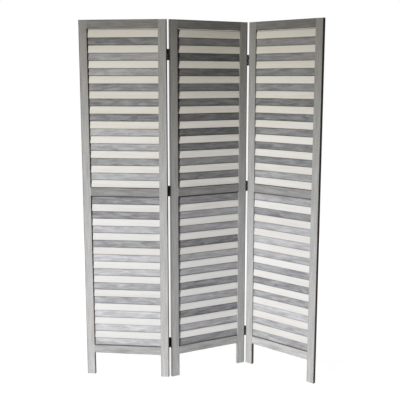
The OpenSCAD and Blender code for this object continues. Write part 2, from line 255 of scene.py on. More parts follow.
@dataclass(frozen=True)
class PanelPlace:
    """Where a panel stands: its own X runs along its front, Y into its thickness, Z up."""

    start: Pair
    turn: float

    @classmethod
    def from_feet(cls, name: str, stile_width: float, thickness: float) -> "PanelPlace":
        """Works the place out from the record's two feet of the panel.

        Args:
            name: the panel's body.
            stile_width: width of a stile in metres.
            thickness: thickness of the frame in metres.

        Returns:
            The panel's place.
        """
        feet = {m["name"]: Vector(m["pos_m"][:2]) for m in frame["record"]["mounts"]}
        left, right = feet[f"{name}_left_foot"], feet[f"{name}_right_foot"]
        along = (right - left).normalized()
        into = Vector((-along.y, along.x))
        start = left - along * stile_width / 2 - into * thickness / 2
        return cls((start.x, start.y), math.atan2(along.y, along.x))


class Grain:
    """How the grain lies on a piece: the places of its marks, its edges and its own tone."""

    def marks(self, tree: Tree) -> Socket:
        """A vector in millimetres: along the grain, across it, and into the piece."""
        raise NotImplementedError

    def edge_distance(self, tree: Tree) -> Socket:
        """Millimetres from the nearest long edge of the piece."""
        raise NotImplementedError

    def narrow_face(self, tree: Tree) -> Socket | None:
        """1 on the narrow faces of a board and 0 on its broad ones, or None."""
        return None

    def own_tone(self, tree: Tree) -> Socket | None:
        """A number from 0 to 1 that belongs to the single piece, or None."""
        return None

    def end_grain(self, tree: Tree) -> Socket | None:
        """1 on a sawn end and 0 elsewhere, or None where no end shows."""
        return None


@dataclass(frozen=True)
class PanelGrain(Grain):
    """Grain of one of a panel's boards.

    The order names the panel's axes along the board, across its face and into it.
    """

    order: ClassVar[str] = "XZY"
    place: PanelPlace
    thickness: float

    def local_mm(self, tree: Tree) -> dict[str, Socket]:
        """Finds the point in the panel's own X, Y and Z.

        Args:
            tree: the material's tree.

        Returns:
            The three in millimetres.
        """
        moved = vector_calc(tree, "SUBTRACT", place_on(tree), (*self.place.start, 0.0))
        turned = paint(tree, "VectorRotate", {"Vector": moved, "Angle": -self.place.turn},
                       rotation_type="Z_AXIS")
        return parts(tree, in_mm(tree, turned))

    def marks(self, tree: Tree) -> Socket:
        """A vector in millimetres along the board, across its face, and into it."""
        local = self.local_mm(tree)
        return vector(tree, *(local[axis] for axis in self.order))

    def side_distance(self, tree: Tree, local: dict[str, Socket]) -> Socket:
        """Millimetres from the nearer narrow face of the board."""
        raise NotImplementedError

    def edge_distance(self, tree: Tree) -> Socket:
        """Millimetres from the nearest of the board's four long edges, along its faces."""
        local, half = self.local_mm(tree), self.thickness * METRE / 2
        return calc(tree, "ADD", self.side_distance(tree, local), calc(
            tree, "SUBTRACT", half, distance(tree, local["Y"], half)))


@dataclass(frozen=True)
class StileGrain(PanelGrain):
    """Upright grain of the two stiles, with their sawn ends at the top and the feet."""

    order: ClassVar[str] = "ZXY"
    panel_width: float
    stile_width: float
    rails: tuple[Pair, ...]
    inner_shade_share: float

    def side_distance(self, tree: Tree, local: dict[str, Socket]) -> Socket:
        """Millimetres from the nearer narrow face of the stile."""
        panel, stile = self.panel_width * METRE / 2, self.stile_width * METRE / 2
        return calc(tree, "SUBTRACT", stile, distance(
            tree, distance(tree, local["X"], panel), panel - stile))

    def inner_share(self, tree: Tree, height: Socket) -> Socket:
        """Finds how much of the brown, partly painted shade, the inner face takes at a height.

        Args:
            tree: the material's tree.
            height: the height in millimetres.

        Returns:
            1 on the legs, 0 where a rail meets the face, and the panel's own share between.
        """
        leg = calc(tree, "LESS_THAN", height, self.rails[0][0] * METRE)
        met = 0.0
        for foot, head in self.rails:
            here = calc(tree, "COMPARE", height, (foot + head) / 2 * METRE,
                        (head - foot) / 2 * METRE)
            met = calc(tree, "MAXIMUM", here, met)
        return calc(tree, "MULTIPLY", calc(tree, "MAXIMUM", leg, self.inner_shade_share),
                    calc(tree, "SUBTRACT", 1.0, met))

    def narrow_face(self, tree: Tree) -> Socket:
        """Marks the narrow faces and the rims beside them, which take a brown that is partly
        painted shade.

        Args:
            tree: the material's tree.

        Returns:
            1 on the outer right face, less on the outer left one and the inner one.
        """
        local = self.local_mm(tree)
        inner = self.inner_share(tree, local["Z"])
        most = 0.0
        for face, share in ((0.0, LEFT_FACE_SHADE), (self.stile_width, inner),
                            (self.panel_width, 1.0)):
            away = distance(tree, local["X"], face * METRE)
            near = ramp(tree, away, STILE_RIM_MM, 2 * STILE_RIM_MM, 1.0, 0.0)
            most = calc(tree, "MAXIMUM", most, calc(tree, "MULTIPLY", near, share))
        return most

    def end_grain(self, tree: Tree) -> Socket:
        """1 where the face looks straight up or down."""
        normal = parts(tree, add_node(tree, "ShaderNodeNewGeometry").outputs["True Normal"])
        return calc(tree, "GREATER_THAN", calc(tree, "ABSOLUTE", normal["Z"]), END_FACING)


@dataclass(frozen=True)
class RailGrain(PanelGrain):
    """Level grain of one rail."""

    rail_middle: float
    rail_height: float

    def side_distance(self, tree: Tree, local: dict[str, Socket]) -> Socket:
        """Millimetres from the nearer narrow face of the rail."""
        return calc(tree, "SUBTRACT", self.rail_height * METRE / 2,
                    distance(tree, local["Z"], self.rail_middle * METRE))

    def narrow_face(self, tree: Tree) -> Socket:
        """1 on the upper and lower faces, going down to 0 across the eased edges."""
        away = self.side_distance(tree, self.local_mm(tree))
        return ramp(tree, away, RAIL_RIM_MM, 2 * RAIL_RIM_MM, 1.0, 0.0)


@dataclass(frozen=True)
class SlatGrain(Grain):
    """Grain of the slats, read from the attributes that their tree gives each one.

    The lap is the strip of a face that the next slat hides: the upper one in front, the lower
    one behind.
    """

    width: float
    lap: float

    def attribute(self, tree: Tree, name: str) -> Socket:
        """One of the vectors that the tree of the slats stores on them."""
        return add_node(tree, "ShaderNodeAttribute", attribute_name=name).outputs["Vector"]

    def marks(self, tree: Tree) -> Socket:
        """The slat's own millimetres, moved far away for each slat so that no two match."""
        away = vector_calc(tree, "MULTIPLY", self.attribute(tree, "slat_seed"),
                           SLAT_STRIDES_MM)
        return vector_calc(tree, "ADD", in_mm(tree, self.attribute(tree, "slat_place")), away)

    def edge_distance(self, tree: Tree) -> Socket:
        """Measures from the free edge of the slat or from the lap, whichever is nearer.

        Args:
            tree: the material's tree.

        Returns:
            The distance in millimetres.
        """
        own = parts(tree, self.attribute(tree, "slat_place"))
        down = calc(tree, "MULTIPLY", own["Y"], calc(tree, "SIGN", own["Z"]))
        inset = calc(tree, "SUBTRACT", (self.width - self.lap) / 2,
                     distance(tree, down, self.lap / 2))
        return calc(tree, "MULTIPLY", inset, METRE)

    def own_tone(self, tree: Tree) -> Socket:
        """The first of the slat's own random numbers."""
        return parts(tree, self.attribute(tree, "slat_seed"))["X"]


@dataclass(frozen=True)
class Marks:
    """One layer of marks in a finish: their size along and across the grain, and strength."""

    length_mm: float
    width_mm: float
    weight: float
    detail: float = 3.0
    distortion: float = 0.0

    def add(self, tree: Tree, place: Socket) -> Socket:
        """Noise stretched along the grain at a point in millimetres, about 0.5 on average."""
        shrunk = vector_calc(tree, "MULTIPLY", place, (
            1 / self.length_mm, 1 / self.width_mm, 1 / self.width_mm))
        return paint(tree, "TexNoise", {
            "Vector": shrunk, "Scale": 1.0, "Detail": self.detail,
            "Roughness": NOISE_ROUGHNESS, "Distortion": self.distortion})


@dataclass(frozen=True)
class WashedWood:
    """A softwood board under a thin brushed wash."""

    name: str
    deep: str
    middle: str
    pale: str
    bare_and_shade: str
    clouds: Marks
    streaks: Marks
    fibres: Marks
    # Band along the edges: rubbed to the wood, and on the slats partly painted shade along the
    # lap and the lower edge.
    wear_and_shade_mm: float
    wear_and_shade: float
    roughness: float
    relief_mm: float
    # Painted shade: how much darker the wash is at the top, for the light that falls off
    # upwards.
    top_shading: float
    yellowing: float
    own_tone: float = 0.0
    # Brown of the narrow faces near the floor and at the top, partly painted shade where they
    # turn from the key; the darker top colour is painted shade.
    narrow_shade_low: str = "#6a5e56"
    narrow_shade_high: str = "#302a26"
    shade: float = 1.0

    def tone(self, tree: Tree, grain: Grain) -> tuple[Socket, Socket]:
        """Adds up the layers of marks.

        Args:
            tree: the material's tree.
            grain: how the grain lies on the piece.

        Returns:
            The tone from 0, deep, to 1, pale, and the fibres alone for the relief.
        """
        place = grain.marks(tree)
        layers = [(layer.add(tree, place), layer.weight)
                  for layer in (self.clouds, self.streaks, self.fibres)]
        fibre = layers[-1][0]
        layers.append((grain.own_tone(tree), self.own_tone))
        total = MIDDLE
        for mark, weight in layers:
            if mark is not None:
                total = calc(tree, "MULTIPLY_ADD", calc(tree, "SUBTRACT", mark, MIDDLE),
                             weight, total)
        return total, fibre

    def worn_and_shaded(self, tree: Tree, grain: Grain, fibre: Socket) -> Socket:
        """The rubbed edge band, partly painted shade on the slats, broken up by the fibres."""
        reach = ramp(tree, grain.edge_distance(tree), 0.0, self.wear_and_shade_mm, self.wear_and_shade, 0.0)
        return calc(tree, "MULTIPLY", reach, ramp(tree, fibre, *FIBRE_TONES, *FIBRE_BAND_SHARES))

    def material(self, grain: Grain, suffix: str) -> Material:
        """Builds the finish for pieces whose grain lies one way.

        Args:
            grain: how the grain lies on the pieces.
            suffix: what tells this material from others of the same finish.

        Returns:
            The material.
        """
        made = bpy.data.materials.new(self.name + suffix)
        tree = empty_tree(made)
        tone, fibre = self.tone(tree, grain)
        wash = add_node(tree, "ShaderNodeValToRGB", {0: tone})
        stops = wash.color_ramp.elements
        stops[0].position, stops[0].color = DEEP_STOP, linear(self.deep)
        stops[1].position, stops[1].color = PALE_STOP, linear(self.pale)
        stops.new(MIDDLE).color = linear(self.middle)
        # The edge band is rubbed wood, and on the slats partly painted shade under the slat
        # above.
        colour = mix(tree, self.worn_and_shaded(tree, grain, fibre), wash.outputs["Color"],
                     linear(self.bare_and_shade))
        # The narrow faces get a brown that is partly painted shade, darkened towards the top as
        # painted shade.
        narrow = grain.narrow_face(tree)
        if narrow is not None:
            brown = mix(tree, self.height_share(tree, SHADING_HEIGHTS), linear(self.narrow_shade_low),
                        linear(self.narrow_shade_high))
            colour = mix(tree, narrow, colour, brown)
        end = grain.end_grain(tree)
        if end is not None:
            colour = self.sawn_end(tree, colour, end)
        relief = paint(tree, "Bump", {
            "Strength": WOOD_RELIEF, "Distance": self.relief_mm * MM, "Height": fibre})
        shader = paint(tree, "BsdfPrincipled", {
            "Base Color": self.shaded_with_height(tree, colour), "IOR": WOOD_IOR,
            "Roughness": ramp(tree, tone, 0.0, 1.0, self.roughness + ROUGHNESS_PLAY,
                              self.roughness - ROUGHNESS_PLAY),
            "Specular IOR Level": WOOD_GLOSS, "Normal": relief})
        add_node(tree, "ShaderNodeOutputMaterial", {0: shader})
        return made

    def height_share(self, tree: Tree, heights: Pair) -> Socket:
        """0 up to the lower of two heights in metres, going up to 1 at the higher one."""
        return ramp(tree, parts(tree, place_on(tree))["Z"], *heights)

    def shaded_with_height(self, tree: Tree, colour: Socket) -> Socket:
        """Darkens the wash towards the top as painted shade, for the light that falls off
        upwards, and yellows it.

        Args:
            tree: the material's tree.
            colour: the colour near the floor.

        Returns:
            The colour at every height.
        """
        foot, top = self.shade, self.shade * (1.0 - self.top_shading)
        yellow = (1.0, 1.0 - self.yellowing / 4, 1.0 - self.yellowing, 1.0)
        for heights, low, high in ((SHADING_HEIGHTS, (foot, foot, foot, 1.0), (top, top, top, 1.0)),
                                   (YELLOWING, (1.0, 1.0, 1.0, 1.0), yellow)):
            tint = mix(tree, self.height_share(tree, heights), low, high)
            colour = mix(tree, 1.0, colour, tint, "MULTIPLY")
        return colour

    def sawn_end(self, tree: Tree, colour: Socket, end: Socket) -> Socket:
        """Darkens a sawn end, which drinks more of the wash, and shows its rings.

        Args:
            tree: the material's tree.
            colour: the colour of the long faces.
            end: 1 on a sawn end.

        Returns:
            The colour with the ends in it.
        """
        rings = add_node(tree, "ShaderNodeTexWave", {"Vector": place_on(tree), **RINGS},
                         wave_type="RINGS")
        shade = ramp(tree, rings.outputs["Fac"], 0.0, 1.0, *RING_SHADES)
        grey = vector(tree, shade, shade, shade)
        return mix(tree, end, colour, mix(tree, 1.0, colour, grey, "MULTIPLY"))


@dataclass(frozen=True)
class HardFinish:
    """A hard coat or bare metal, with fine roughness in its surface and rubbed places."""

    name: str
    body: str
    rubbed: str
    speck_mm: float
    patch_mm: float
    roughness: float
    metallic: float
    relief_mm: float
    gloss: float
    rub: float = 0.8
    speck_tones: Pair = (0.3, 0.7)
    patch_tones: Pair = (0.52, 0.75)

    def material(self) -> Material:
        """Builds the finish.

        Returns:
            The material.
        """
        made = bpy.data.materials.new(self.name)
        tree = empty_tree(made)
        specks, patches = (
            paint(tree, "TexNoise", {
                "Vector": place_on(tree), "Scale": METRE / size_mm, "Detail": detail})
            for size_mm, detail in ((self.speck_mm, 4.0), (self.patch_mm, 3.0)))
        rub = ramp(tree, patches, *self.patch_tones, 0.0, self.rub)
        relief = paint(tree, "Bump", {
            "Strength": HARD_RELIEF, "Distance": self.relief_mm * MM, "Height": specks})
        shader = paint(tree, "BsdfPrincipled", {
            "Base Color": mix(tree, rub, linear(self.body), linear(self.rubbed)),
            "Metallic": self.metallic,
            "Roughness": ramp(tree, specks, *self.speck_tones,
                              self.roughness - ROUGHNESS_PLAY, self.roughness + ROUGHNESS_PLAY),
            "Specular IOR Level": self.gloss, "Normal": relief})
        add_node(tree, "ShaderNodeOutputMaterial", {0: shader})
        return made


# Weathered grey fir: a thin neutral grey wash on brushed softwood, brown on the narrow faces,
# partly as painted shade on those turned from the key, and darker towards the top as painted
# shade. It gives the eye a matt grey with faint long streaks and a sandy mottling.
WEATHERED_GREY_FIR = WashedWood(
    name="weathered grey fir", deep="#90908e", middle="#bababa", pale="#dadad9",
    bare_and_shade="#8f7f72", clouds=Marks(220.0, 22.0, 0.35, 2.0), streaks=Marks(120.0, 3.6, 0.7),
    fibres=Marks(8.0, 3.2, 0.6, 4.0), wear_and_shade_mm=2.2, wear_and_shade=0.6, roughness=0.72, relief_mm=0.25,
    top_shading=0.345, yellowing=0.12)

# The rails took the wash less evenly than the stiles.
RAIL_CLOUDS = Marks(110.0, 16.0, 0.75, 3.0, 0.4)

# Whitewashed fir: nearly opaque lime white over softwood. It gives the eye a soft white in which
# long fibres show faintly warmer. The brown band along its edges is partly painted shade where
# the slats lap.
WHITEWASHED_FIR = WashedWood(
    name="whitewashed fir", deep="#d4cec6", middle="#e5e4e2", pale="#efeeed",
    bare_and_shade="#7c5a47", clouds=Marks(160.0, 12.0, 0.35, 2.0), streaks=Marks(110.0, 2.0, 0.4),
    fibres=Marks(12.0, 1.2, 0.2, 4.0), wear_and_shade_mm=2.0, wear_and_shade=0.75, roughness=0.66,
    relief_mm=0.15, top_shading=0.03, yellowing=0.16, own_tone=0.25)

# Grey-washed fir: a grey stain brushed on unevenly. It gives the eye long cloudy streaks from
# slate to pale grey, and no two slats alike. Its wide dark brown edge band is painted shade
# under the slat above, beside some real rubbing.
GREY_WASHED_FIR = WashedWood(
    name="grey-washed fir", deep="#7e7e81", middle="#afb0b3", pale="#d4d4d7",
    bare_and_shade="#564a42", clouds=Marks(70.0, 13.0, 0.95, 3.0, 0.5),
    streaks=Marks(45.0, 3.0, 0.4, 3.0), fibres=Marks(7.0, 1.0, 0.4, 4.0), wear_and_shade_mm=5.0,
    wear_and_shade=0.8, roughness=0.62, relief_mm=0.2, top_shading=0.39, yellowing=0.09, own_tone=0.45)

# Plain beech: dowel rod under glue. It gives the eye an even pale tan with short flecks.
PLAIN_BEECH = HardFinish(
    name="plain beech dowel", body="#d8b98c", rubbed="#c29f72", speck_mm=1.5, patch_mm=13.5,
    roughness=0.6, metallic=0.0, relief_mm=0.05, gloss=0.3)

# Black enamelled steel: pressed steel under stoved black enamel. It gives the eye a near black
# with a soft sheen, rubbed to dark brown in places.
BLACK_ENAMELLED_STEEL = HardFinish(
    name="black enamelled steel", body="#080606", rubbed="#24140f", speck_mm=0.9,
    patch_mm=8.1, roughness=0.5, metallic=0.0, relief_mm=0.03, gloss=0.15)

# Bronzed steel: small wood screws under a thin bronzing. It gives the eye a warm brown metal
# that shines where the driver sat.
BRONZED_STEEL = HardFinish(
    name="bronzed steel", body="#6a4a34", rubbed="#b08a63", speck_mm=0.6, patch_mm=5.4,
    roughness=0.4, metallic=1.0, relief_mm=0.02, gloss=0.5)


class RepeatTree:
    """A Geometry Nodes tree with named inputs that is run once and kept as a plain mesh."""

    def __init__(self, name: str) -> None:
        """Starts a tree with a geometry going in and out, a seed and a material.

        Args:
            name: the tree's name.
        """
        self.tree = bpy.data.node_groups.new(name, "GeometryNodeTree")
        for way in ("INPUT", "OUTPUT"):
            self.tree.interface.new_socket("Geometry", in_out=way,
                                           socket_type="NodeSocketGeometry")
        self.source = add_node(self.tree, "NodeGroupInput")
        self.identifiers: dict[str, str] = {}
        self.seed, = self.named_inputs("Seed", kind="Int")
        self.material, = self.named_inputs("Material", kind="Material")

    def named_inputs(self, *names: str, kind: str = "Float") -> list[Socket]:
        """Adds inputs of one kind to the tree.

        Args:
            *names: the inputs' names.
            kind: the kind of their values.

        Returns:
            The sockets that carry them.
        """
        for name in names:
            added = self.tree.interface.new_socket(name, in_out="INPUT",
                                                   socket_type="NodeSocket" + kind)
            self.identifiers[name] = added.identifier
        return [self.source.outputs[name] for name in names]

    def close(self, geometry: Socket) -> None:
        """Realizes the instances, sets their material and ends the tree."""
        real = shape(self.tree, "RealizeInstances", {0: geometry})
        add_node(self.tree, "NodeGroupOutput", {0: shape(self.tree, "SetMaterial", {
            "Geometry": real, "Material": self.material})})

    def make(self, name: str, values: dict, points: list[Vector] | tuple = ()) -> Object:
        """Runs the tree once and keeps what it makes.

        Args:
            name: the finished piece's name.
            values: a value for each named input.
            points: where the repeats go, for a tree that takes its places from outside.

        Returns:
            A plain mesh object at the origin.
        """
        start = bpy.data.meshes.new(name + "_places")
        start.from_pydata(points, [], [])
        carrier = new_object(name + "_carrier", start)
        modifier = carrier.modifiers.new("repeat", "NODES")
        modifier.node_group = self.tree
        for key, value in values.items():
            modifier[self.identifiers[key]] = value
        graph = bpy.context.evaluated_depsgraph_get()
        mesh = bpy.data.meshes.new_from_object(carrier.evaluated_get(graph))
        carrier.modifiers.remove(modifier)
        bpy.data.objects.remove(carrier)
        mesh.name = name
        tidy = bmesh.new()
        tidy.from_mesh(mesh)
        bmesh.ops.recalc_face_normals(tidy, faces=tidy.faces)
        tidy.to_mesh(mesh)
        tidy.free()
        LOG.info("%s: %d faces", name, len(mesh.polygons))
        return new_object(name, mesh)


@dataclass
class SlatRow:
    """The slats of one wash in one section, thin boards that lean back and lap."""

    width: float = 38.5 * MM
    thickness: float = 3.2 * MM
    ease: float = 0.8 * MM
    lean: float = math.radians(8.6)
    setback: float = 3.6 * MM
    end_gap: float = 1.0 * MM
    per_section: int = 21
    reach_into_slot: float = 7.8 * MM
    lean_play: float = math.radians(0.25)
    lap: float = 3.4 * MM
    ease_steps: int = 2
    tree: RepeatTree = field(init=False)

    def __post_init__(self) -> None:
        """Builds one slat from its rounded outline and repeats it up the section."""
        self.tree = repeat = RepeatTree("louvre_slats")
        tree = repeat.tree
        length, width, thickness, ease, lean, play = repeat.named_inputs(
            "Length", "Width", "Thickness", "Edge rounding", "Lean", "Lean play")
        count, = repeat.named_inputs("Slats", kind="Int")
        step, first, start, turn = repeat.named_inputs(
            "Step", "First slat", "Panel start", "Panel turn", kind="Vector")

        outline = shape(tree, "CurvePrimitiveQuadrilateral", {
            "Width": thickness, "Height": width}, mode="RECTANGLE")
        eased = shape(tree, "FilletCurve", {
            "Curve": outline, "Count": self.ease_steps, "Radius": ease}, mode="POLY")
        line = shape(tree, "CurvePrimitiveLine", {"End": vector(tree, length)})
        board = shape(tree, "CurveToMesh", {
            "Curve": line, "Profile Curve": eased, "Fill Caps": True})
        own = parts(tree, add_node(tree, "GeometryNodeInputPosition").outputs[0])
        marked = shape(tree, "StoreNamedAttribute", {
            "Geometry": board, "Name": "slat_place",
            "Value": vector(tree, own["X"], own["Z"], own["Y"])},
            data_type="FLOAT_VECTOR", domain="POINT")

        row = shape(tree, "MeshLine", {
            "Count": count, "Start Location": first, "Offset": step}, mode="OFFSET")
        # Inputs 2 and 3 of the node are the Min and Max of its FLOAT type.
        jitter = add_node(tree, "FunctionNodeRandomValue", {
            2: -1.0, 3: 1.0, "Seed": repeat.seed}, data_type="FLOAT")
        back = calc(tree, "MULTIPLY",
                    calc(tree, "MULTIPLY_ADD", jitter.outputs[1], play, lean), -1.0)
        slats = shape(tree, "InstanceOnPoints", {
            "Points": row, "Instance": marked, "Rotation": vector(tree, back)})
        numbers = add_node(tree, "FunctionNodeRandomValue", {"Seed": repeat.seed},
                           data_type="FLOAT_VECTOR")
        seeded = shape(tree, "StoreNamedAttribute", {
            "Geometry": slats, "Name": "slat_seed", "Value": numbers.outputs[0]},
            data_type="FLOAT_VECTOR", domain="INSTANCE")
        placed = shape(tree, "Transform", {
            "Geometry": seeded, "Translation": start, "Rotation": turn})
        repeat.close(placed)

    def build(self, panel: "LouvrePanel", section: Section, wash: Wash,
              material: Material, seed: int) -> Object:
        """Makes one row of slats in its section.

        Args:
            panel: the panel that the row stands in.
            section: the lower or upper section.
            wash: the row's wash.
            material: the row's finish.
            seed: what sets this row's random numbers apart.

        Returns:
            The row as one mesh, riding on the panel.
        """
        lower_rail, upper_rail = SECTION_RAILS[section]
        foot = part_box(f"{panel.name}_{lower_rail}_rail")[1].z
        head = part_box(f"{panel.name}_{upper_rail}_rail")[0].z
        rise = self.width * math.cos(self.lean) + self.thickness * math.sin(self.lean)
        pitch = (head - foot - 2 * self.end_gap - rise) / (self.per_section - 1)
        skipped = 0 if wash is LOWEST_WASH[section] else 1
        middle_y = (self.setback + self.thickness / 2 * math.cos(self.lean)
                    + self.width / 2 * math.sin(self.lean))
        inset = panel.stile_width - self.reach_into_slot
        first = (inset, middle_y, foot + self.end_gap + skipped * pitch + rise / 2)
        node = f"{panel.name}_{section.value}_{wash.value}_slats"
        row = self.tree.make(node.replace("_slats", "_louvre"), {
            "Length": panel.panel_width - 2 * inset, "Width": self.width,
            "Thickness": self.thickness, "Edge rounding": self.ease,
            "Slats": (self.per_section + 1 - skipped) // 2,
            "Step": (0.0, 0.0, 2 * pitch), "First slat": first, "Lean": self.lean,
            "Lean play": self.lean_play, "Seed": seed,
            "Panel start": (*panel.place.start, 0.0),
            "Panel turn": (0.0, 0.0, panel.place.turn), "Material": material})
        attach(row, panel.name)
        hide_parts(node)
        return row


@dataclass
class LouvrePanel:
    """One panel: two stiles, three rails and four rows of slats.

    The shades scale the wash's colour in this panel beside the finish's own; they are partly
    painted light and shade, and the grey top shading is painted shade that deepens upwards.
    Those of the rails go from the bottom up. The seeds are those of the rows, white and grey
    below, then white and grey above.
    """

    name: str
    seeds: tuple[int, int, int, int]
    rail_shades: tuple[float, float, float]
    stile_shade: float = 1.0
    white_shade: float = 1.0
    grey_shade: float = 1.0
    grey_top_shading: float = 0.39
    inner_shade_share: float = 1.0
    panel_width: float = 406.0 * MM
    stile_width: float = 40.0 * MM
    rail_height: float = 40.0 * MM
    thickness: float = 15.0 * MM
    place: PanelPlace = field(init=False)

    def __post_init__(self) -> None:
        """Reads where the panel stands."""
        self.place = PanelPlace.from_feet(self.name, self.stile_width, self.thickness)

    def dress_frame(self) -> None:
        """Gives the stiles, rails and dowels their finishes."""
        finish = replace(WEATHERED_GREY_FIR, shade=self.stile_shade)
        rails = [f"{self.name}_{height}_rail" for height in ("bottom", "middle", "top")]
        spans = tuple((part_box(rail)[0].z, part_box(rail)[1].z) for rail in rails)
        grain = StileGrain(self.place, self.thickness, self.panel_width, self.stile_width,
                           spans, self.inner_shade_share)
        upright = finish.material(grain, f", {self.name} stiles")
        for side in ("left", "right"):
            dress(f"{self.name}_{side}_stile", upright)
        for rail, (foot, head), shade in zip(rails, spans, self.rail_shades):
            finish = replace(WEATHERED_GREY_FIR, shade=shade, clouds=RAIL_CLOUDS)
            grain = RailGrain(self.place, self.thickness, (foot + head) / 2, self.rail_height)
            dress(rail, finish.material(grain, f", {rail}"))
        dress(f"{self.name}_dowels", shared_material(PLAIN_BEECH))

    def build_slats(self, row: SlatRow) -> None:
        """Makes the panel's four rows of slats.

        Args:
            row: the maker of slat rows.
        """
        grain = SlatGrain(row.width, row.lap)
        white = replace(WHITEWASHED_FIR, shade=self.white_shade)
        grey = replace(GREY_WASHED_FIR, shade=self.grey_shade, top_shading=self.grey_top_shading)
        finishes = {wash: finish.material(grain, f", {self.name}")
                    for wash, finish in ((Wash.WHITE, white), (Wash.GREY, grey))}
        rows = [(section, wash) for section in Section for wash in Wash]
        for (section, wash), seed in zip(rows, self.seeds):
            row.build(self, section, wash, finishes[wash], seed)


@dataclass
class WoodScrews:
    """Small countersunk wood screws with a cross recess and a rolled thread."""

    head_diameter: float = 4.6 * MM
    shank_diameter: float = 2.4 * MM
    core_diameter: float = 1.7 * MM
    tip_diameter: float = 0.4 * MM
    length: float = 14.0 * MM
    recess_width: float = 0.7 * MM
    recess_length: float = 2.3 * MM
    recess_depth: float = 0.7 * MM
    thread_pitch: float = 1.1 * MM
    threaded_share: float = 0.8
    head_sides: int = 24
    core_sides: int = 16
    coil_steps: int = 12
    ridge_sides: int = 4
    tree: RepeatTree = field(init=False)

    def __post_init__(self) -> None:
        """Builds one screw from its sizes and sets it on every given point."""
        self.tree = repeat = RepeatTree("hinge_screws")
        tree = repeat.tree
        head, shank, core, tip = repeat.named_inputs(
            "Head radius", "Shank radius", "Core radius", "Tip radius")
        head_height, core_length, turns, thread_length = repeat.named_inputs(
            "Head height", "Core length", "Thread turns", "Thread length")
        recess_length, recess_width, recess_depth = repeat.named_inputs(
            "Recess length", "Recess width", "Recess depth")
        aim, = repeat.named_inputs("Aim", kind="Vector")

        cut = shape(tree, "MeshCone", {
            "Vertices": self.head_sides, "Radius Top": shank, "Radius Bottom": head,
            "Depth": head_height})
        # Half of each arm is outside the head. Unequal depths keep the floors out of one plane.
        for long, wide, share in ((recess_length, recess_width, 2.0),
                                  (recess_width, recess_length, 1.9)):
            depth = calc(tree, "MULTIPLY", recess_depth, share)
            arm = shape(tree, "MeshCube", {"Size": vector(tree, long, wide, depth)})
            cut = shape(tree, "MeshBoolean", {"Mesh 1": cut, "Mesh 2": arm},
                        operation="DIFFERENCE")
        spike = shape(tree, "MeshCone", {
            "Vertices": self.core_sides, "Radius Top": tip, "Radius Bottom": core,
            "Depth": core_length})
        coil = shape(tree, "CurveSpiral", {
            "Resolution": self.coil_steps, "Rotations": turns, "Start Radius": core,
            "End Radius": core, "Height": thread_length})
        ridge = shape(tree, "CurvePrimitiveCircle", {
            "Resolution": self.ridge_sides, "Radius": calc(tree, "SUBTRACT", shank, core)},
            mode="RADIUS")
        thread = shape(tree, "CurveToMesh", {
            "Curve": coil, "Profile Curve": ridge, "Fill Caps": True})
        below_head = vector(tree, 0.0, 0.0, head_height)
        lowered, started = (
            shape(tree, "Transform", {"Geometry": piece, "Translation": below_head})
            for piece in (spike, thread))
        screw = add_node(tree, "GeometryNodeJoinGeometry")
        for piece in (started, lowered, cut):
            tree.links.new(piece, screw.inputs[0])
        aimed = shape(tree, "InstanceOnPoints", {
            "Points": repeat.source.outputs["Geometry"], "Instance": screw.outputs[0],
            "Rotation": aim})
        spin = add_node(tree, "FunctionNodeRandomValue", {"Seed": repeat.seed},
                        data_type="FLOAT")
        full = calc(tree, "MULTIPLY", spin.outputs[1], math.tau)
        spun = shape(tree, "RotateInstances", {
            "Instances": aimed, "Rotation": vector(tree, 0.0, 0.0, full),
            "Local Space": True})
        repeat.close(spun)

    def build(self, node: str, body: str, into: Vector, material: Material, seed: int) -> Object:
        """Makes the screws of one row of leaves where the solids have theirs.

        Args:
            node: the solids that the screws stand for.
            body: the panel that holds them.
            into: the way that they point, level and of length 1.
            material: their finish.
            seed: what sets the turns of their recesses apart from other rows.

        Returns:
            The screws as one mesh, riding on the panel.
        """
        head_height = (self.head_diameter - self.shank_diameter) / 2
        core_length = self.length - head_height
        thread_length = core_length * self.threaded_share
        screws = self.tree.make(node.replace("_screws", "_cross_screws"), {
            "Head radius": self.head_diameter / 2, "Shank radius": self.shank_diameter / 2,
            "Core radius": self.core_diameter / 2, "Tip radius": self.tip_diameter / 2,
            "Head height": head_height, "Core length": core_length,
            "Recess length": self.recess_length, "Recess width": self.recess_width,
            "Recess depth": self.recess_depth,
            "Thread turns": thread_length / self.thread_pitch,
            "Thread length": thread_length, "Seed": seed,
            "Aim": (0.0, math.pi / 2, math.atan2(into.y, into.x)),
            "Material": material}, self.seats(node, into))
        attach(screws, body)
        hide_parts(node)
        return screws

    def seats(self, node: str, into: Vector) -> list[Vector]:
        """Finds the middles of the screw heads from the solids.

        Args:
            node: the solids of one row of screws, all on one upright line.
            into: the way that they point.

        Returns:
            The middle of each head's face, from the lowest up.
        """
        solid = frame["nodes"][node]
        points = [solid.matrix_world @ vertex.co for vertex in solid.data.vertices]
        across = Vector((-into.y, into.x, 0.0))
        sides = [point.dot(across) for point in points]
        face = into * min(point.dot(into) for point in points)
        line = face + across * (min(sides) + max(sides)) / 2
        heights = sorted(point.z for point in points)
        gaps = [i for i in range(1, len(heights))
                if heights[i] - heights[i - 1] > self.head_diameter]
        groups = zip([0] + gaps, gaps + [len(heights)])
        return [line + Vector((0.0, 0.0, (heights[low] + heights[high - 1]) / 2))
                for low, high in groups]


